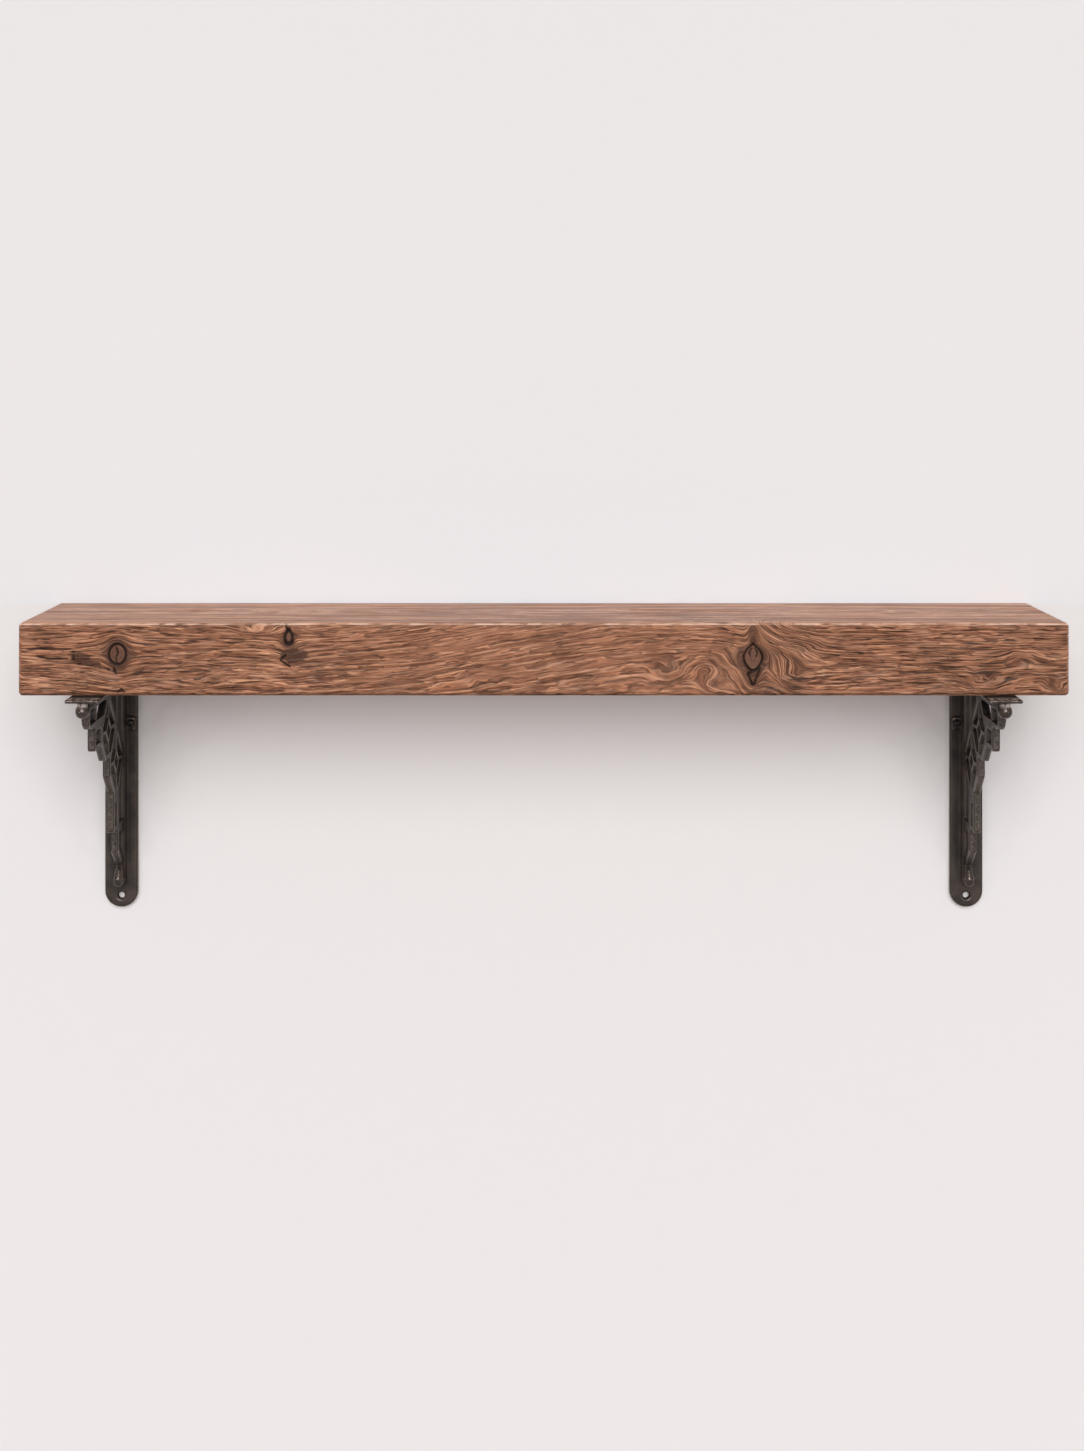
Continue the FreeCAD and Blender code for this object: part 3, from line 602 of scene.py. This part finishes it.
def wood_screw(long, plain, turn):
    """A slotted wood screw in millimetres, its crown at the origin and its point along +Z."""
    shape = bmesh.new()
    dome_tall = head_tall - rim_tall
    outline = [(0.0, 0.0)]
    for part in range(1, dome_steps + 1):
        swing = part / dome_steps * math.pi / 2
        outline.append((head_radius * math.sin(swing), dome_tall * (1.0 - math.cos(swing))))
    outline += [(head_radius, head_tall - rim_round), (head_radius - rim_round, head_tall),
                (neck_radius, head_tall), (neck_radius, head_tall + plain),
                (root_radius, head_tall + plain + neck_slope), (root_radius, long - point_long), (0.0, long)]
    ends = [shape.verts.new((radius, 0.0, level)) for radius, level in outline]
    runs = [shape.edges.new(pair) for pair in zip(ends, ends[1:])]
    bmesh.ops.spin(shape, geom=ends + runs, cent=(0, 0, 0), axis=(0, 0, 1), angle=2 * math.pi,
                   steps=turned_steps, use_merge=True)
    bmesh.ops.remove_doubles(shape, verts=shape.verts, dist=weld)
    slot_half = slot_wide / 2
    for offset in (-slot_half, -slot_half + slot_slope, slot_half - slot_slope, slot_half):
        bmesh.ops.bisect_plane(shape, geom=shape.verts[:] + shape.edges[:] + shape.faces[:], dist=0.1 * weld,
                               plane_co=(0, offset, 0), plane_no=(0, 1, 0))
    for vert in shape.verts:
        if abs(vert.co.y) < slot_half - slot_slope / 2 and vert.co.z < slot_deep:
            vert.co.z = slot_deep
    # the thread: a small wedge wound down the root
    start, sunk = head_tall + plain + thread_start, root_radius - thread_sunk
    wedge = [shape.verts.new((radius, 0.0, start + rise))
             for radius, rise in ((sunk, -thread_half), (thread_radius, 0.0), (sunk, thread_half))]
    rib = [shape.edges.new((wedge[i], wedge[i - 1])) for i in range(3)]
    turns = int((long - start - thread_end) / thread_pitch)
    bmesh.ops.contextual_create(shape, geom=wedge)
    bmesh.ops.spin(shape, geom=wedge + rib, cent=(0, 0, 0), axis=(0, 0, 1), angle=2 * math.pi * turns,
                   dvec=(0, 0, thread_pitch / thread_steps), steps=thread_steps * turns)
    bmesh.ops.holes_fill(shape, edges=[edge for edge in shape.edges if edge.is_boundary])
    for vert in shape.verts:
        taper = min((long - vert.co.z) / point_long, 1.0)
        if vert.co.z < long - hair and taper < 1.0:
            outward = math.hypot(vert.co.x, vert.co.y)
            if outward > root_radius * taper:
                vert.co.x *= max(taper, thread_least) * thread_radius / outward
                vert.co.y *= max(taper, thread_least) * thread_radius / outward
    bmesh.ops.recalc_face_normals(shape, faces=shape.faces)
    bmesh.ops.rotate(shape, verts=shape.verts, matrix=Matrix.Rotation(turn, 3, "Z"))
    return shape


wall_screw_plain, shelf_screw_plain = 12.0, 9.0
# each screw, and how far its slot is turned
screws = (
    ("wall_screw_left_inner", 0.5), ("wall_screw_left_outer", 1.9),
    ("wall_screw_right_inner", 1.1), ("wall_screw_right_outer", 2.6),
    ("shelf_screw_left_front", 0.3), ("shelf_screw_left_rear", 2.2),
    ("shelf_screw_right_front", 1.4), ("shelf_screw_right_rear", 0.8),
)
for node, turn in screws:
    low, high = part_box(node)
    to_wall = node.startswith("wall")
    long = (high.y - low.y if to_wall else high.z - low.z) / MM
    shape = wood_screw(long, wall_screw_plain if to_wall else shelf_screw_plain, turn)
    bmesh.ops.scale(shape, vec=(MM, MM, MM), verts=shape.verts)
    middle = (low + high) / 2
    if to_wall:
        bmesh.ops.rotate(shape, verts=shape.verts, matrix=Matrix.Rotation(-math.pi / 2, 3, "X"))
        seat = Vector((middle.x, low.y, middle.z))
    else:
        seat = Vector((middle.x, middle.y, low.z))
    bmesh.ops.translate(shape, vec=seat, verts=shape.verts)
    new_piece("slotted_" + node, shape, blackened, "blackened_screw", node)

# Studio
# A plain warm white wall that the shelf hangs on, a pale floor far below it and soft lights in front. The
# wall has only a front, and lets light through to what lies against it, so that the shelf also shows from
# behind.
wall_colour, cool_colour, floor_colour = "#ebe8e8", "#ebeff4", "#bdb7b4"
floor_drop, room_half, wall_gap = 1.3, 4.0, 0.0005
see_through = 6 * wall_gap
plaster, plaster_shader = new_material("warm_white_wall", Roughness=0.9, Specular_IOR_Level=0.2)
# the plank's top throws a reddish light on the wall over it; the wall there is painted a little cooler to
# take that light back
glow_side, glow_tall = 0.14, 0.6
wall_place = add_node(plaster, "ShaderNodeTexCoord")
wall_parts = add_node(plaster, "ShaderNodeSeparateXYZ", {0: wall_place.outputs["Object"]})
rise_up = add_node(plaster, "ShaderNodeMapRange", {"Value": wall_parts.outputs[2], "From Min": board_high.z,
                                                  "From Max": board_high.z + glow_tall})
glow_stops = []
for rise in (0.0, 0.05, 0.1, 0.2, 0.35, glow_tall):
    seen = 1.0 - rise / math.hypot(rise, board_low.y)
    glow_stops.append((rise / glow_tall, [seen * cool + (1.0 - seen) * plain for cool, plain
                                          in zip(linear(cool_colour), linear(wall_colour))]))
glow = add_node(plaster, "ShaderNodeValToRGB", {0: rise_up.outputs[0]}, stops=glow_stops)
aside = add_node(plaster, "ShaderNodeMath", {0: wall_parts.outputs[0]}, operation="ABSOLUTE")
beside = add_node(plaster, "ShaderNodeMapRange",
                  {"Value": aside.outputs[0], "From Min": board_high.x + glow_side,
                   "From Max": board_high.x - glow_side}, interpolation_type="SMOOTHSTEP")
over = add_node(plaster, "ShaderNodeMath", {0: rise_up.outputs[0], 1: 0.0}, operation="GREATER_THAN")
cooled = add_node(plaster, "ShaderNodeMath", {0: beside.outputs[0], 1: over.outputs[0]}, operation="MULTIPLY")
wall_tone = add_node(plaster, "ShaderNodeMix",
                     {0: cooled.outputs[0], 6: linear(wall_colour), 7: glow.outputs[0]}, data_type="RGBA")
plaster.node_tree.links.new(wall_tone.outputs[2], plaster_shader.inputs["Base Color"])
wall_side = add_node(plaster, "ShaderNodeNewGeometry")
path = add_node(plaster, "ShaderNodeLightPath")
against_wall = add_node(plaster, "ShaderNodeMath", {0: path.outputs["Ray Length"], 1: see_through},
                        operation="LESS_THAN")
gone = add_node(plaster, "ShaderNodeMath", {0: wall_side.outputs["Backfacing"], 1: against_wall.outputs[0]},
                operation="MAXIMUM")
clear = add_node(plaster, "ShaderNodeBsdfTransparent")
one_sided = add_node(plaster, "ShaderNodeMixShader", {0: gone.outputs[0], 1: plaster_shader.outputs[0],
                                                     2: clear.outputs[0]})
wall_output = plaster.node_tree.nodes["Material Output"]
plaster.node_tree.links.new(one_sided.outputs[0], wall_output.inputs["Surface"])
pale_floor, pale_floor_shader = new_material("pale_floor", Roughness=0.8, Specular_IOR_Level=0.2)
pale_floor_shader.inputs["Base Color"].default_value = linear(floor_colour)
for name, material, turn, centre in (
        ("plain_wall", plaster, math.pi / 2, (0.0, wall_gap, room_half - floor_drop)),
        ("plain_floor", pale_floor, 0.0, (0.0, wall_gap - room_half, -floor_drop))):
    sheet = bmesh.new()
    bmesh.ops.create_grid(sheet, x_segments=1, y_segments=1, size=room_half)
    bmesh.ops.rotate(sheet, verts=sheet.verts, matrix=Matrix.Rotation(turn, 3, "X"))
    bmesh.ops.translate(sheet, vec=centre, verts=sheet.verts)
    sheet_mesh = bpy.data.meshes.new(name)
    sheet.to_mesh(sheet_mesh)
    sheet.free()
    sheet_mesh.materials.append(material)
    backdrop = bpy.data.objects.new(name, sheet_mesh)
    bpy.context.scene.collection.objects.link(backdrop)

# A broad sky light from in front and above, two small windows whose shine the knobs catch, and a pale room.
sky_high, sky_wide, sky_strength = 24.0, 46.0, 2.08
window_size, window_watts = 0.3, 2.6
room_colour, room_strength = "#fffcfb", 0.34
key = bpy.data.lights.new("broad_key", "SUN")
key.angle, key.energy = math.radians(sky_wide), sky_strength
key_holder = bpy.data.objects.new("broad_key", key)
key_holder.rotation_euler = (math.radians(90 - sky_high), 0.0, 0.0)
bpy.context.scene.collection.objects.link(key_holder)
for name, spot in (("left_window", (-1.9, -2.0, 0.0)), ("right_window", (1.9, -2.0, 0.0))):
    lamp = bpy.data.lights.new(name, "AREA")
    lamp.shape, lamp.size, lamp.energy = "SQUARE", window_size, window_watts
    holder = bpy.data.objects.new(name, lamp)
    holder.location = spot
    holder.rotation_euler = (-Vector(spot)).to_track_quat("-Z", "Y").to_euler()
    bpy.context.scene.collection.objects.link(holder)
world = bpy.data.worlds.new("pale_room")
world.use_nodes = True
world.node_tree.nodes["Background"].inputs[0].default_value = linear(room_colour)
world.node_tree.nodes["Background"].inputs[1].default_value = room_strength
bpy.context.scene.world = world
bpy.context.scene.view_settings.view_transform = "Standard"

# The camera stands level, its picture shifted down, so that uprights stay upright as in the photograph.
frame_wide, frame_high = 1084, 1451
eye_x, eye_y = 543.8, 367.0
lens_pixels, sensor = 2087.0, 36.0
eye_away, eye_level = 1.966, 0.25425
camera = bpy.data.cameras.new("level_camera")
camera.sensor_width = sensor
camera.lens = lens_pixels * sensor / frame_high
camera.shift_x = (frame_wide / 2 - eye_x) / frame_high
camera.shift_y = (eye_y - frame_high / 2) / frame_high
viewer = bpy.data.objects.new("level_camera", camera)
viewer.location = (0.0, -eye_away, eye_level)
viewer.rotation_euler = (math.pi / 2, 0.0, 0.0)
bpy.context.scene.collection.objects.link(viewer)
bpy.context.scene.camera = viewer
